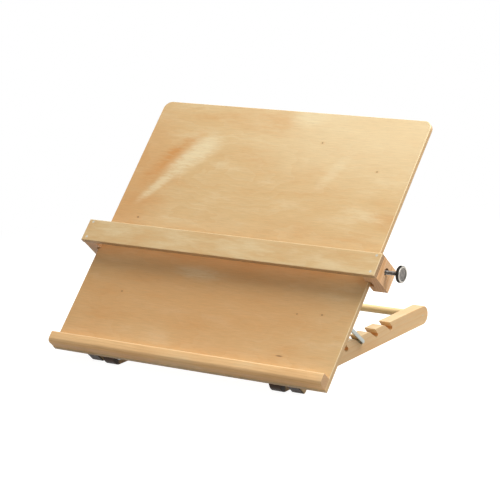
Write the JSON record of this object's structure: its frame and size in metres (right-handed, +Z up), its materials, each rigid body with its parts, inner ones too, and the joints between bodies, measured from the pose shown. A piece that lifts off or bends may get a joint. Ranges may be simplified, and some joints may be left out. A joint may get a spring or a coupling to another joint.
{
  "type": "reading stand",
  "caption": "Folding wooden reading stand: plywood board with a ledge, sliding page bar with a thumb screw, and a wire prop set in notched arms.",
  "frame": {"origin": "middle of the bounding box's underside, on the table that the arms lie on", "axes": "+X to the reader's right, +Y away from the reader, +Z up"},
  "size_m": [0.4544, 0.3612, 0.2825],
  "materials": {
    "birch_ply_board": "rotary-cut birch plywood, clear satin lacquer",
    "birch_ply_guide": "birch plywood, clear satin lacquer",
    "birch_ledge": "planed solid birch, clear satin lacquer",
    "birch_bars": "planed solid birch, clear satin lacquer",
    "birch_dowel": "turned birch, clear satin lacquer",
    "guide_blocks": "sawn solid birch, clear satin lacquer",
    "bright_wire": "bright drawn wire",
    "zinc_hardware": "zinc plated",
    "nickel_screw": "nickel plated, turned and knurled",
    "dark_insert": "zinc alloy, dull",
    "steel_nails": "bright nail heads"
  },
  "bodies": {
    "base": {"arm_left": "birch_bars", "arm_right": "birch_bars", "rear_dowel": "birch_dowel", "dowel_brad_left": "steel_nails", "dowel_brad_right": "steel_nails"},
    "reading_board": {"board": "birch_ply_board", "ledge": "birch_ledge", "batten_left": "birch_bars", "batten_right": "birch_bars", "pivot_bolt_left": "zinc_hardware", "pivot_bolt_right": "zinc_hardware", "pivot_spacer_left": "zinc_hardware", "pivot_spacer_right": "zinc_hardware", "pivot_washer_left": "zinc_hardware", "pivot_washer_right": "zinc_hardware", "pivot_nut_left": "zinc_hardware", "pivot_nut_right": "zinc_hardware"},
    "prop_bail": {"prop": "bright_wire"},
    "page_guide": {"guide_plate": "birch_ply_guide", "guide_block_left": "guide_blocks", "guide_block_right": "guide_blocks", "guide_nails_left": "steel_nails", "guide_nails_right": "steel_nails", "threaded_insert": "dark_insert"},
    "clamp_screw": {"thumb_screw": "nickel_screw"}
  },
  "joints": [
    {"name": "board_tilt", "type": "hinge", "parent": "base", "child": "reading_board", "pos_m": [-0.01105, -0.14878, 0.012], "axis": [1, 0, 0], "range_deg": [0, 44.2]},
    {"name": "prop_swing", "type": "hinge", "parent": "reading_board", "child": "prop_bail", "pos_m": [-0.01105, -0.07305, 0.09319], "axis": [1, 0, 0], "range_deg": [-44.5, 0]},
    {"name": "guide_slide", "type": "slide", "parent": "reading_board", "child": "page_guide", "axis": [0, 0.6984, 0.7157], "range_m": [-0.1275, 0.185]},
    {"name": "thumb_screw_turn", "type": "hinge", "parent": "page_guide", "child": "clamp_screw", "pos_m": [-0.01105, -0.05735, 0.13111], "axis": [1, 0, 0], "range_deg": [0, 720]}
  ],
  "couplings": [
    {"joint": "prop_swing", "follows": "board_tilt", "ratio": -1}
  ]
}
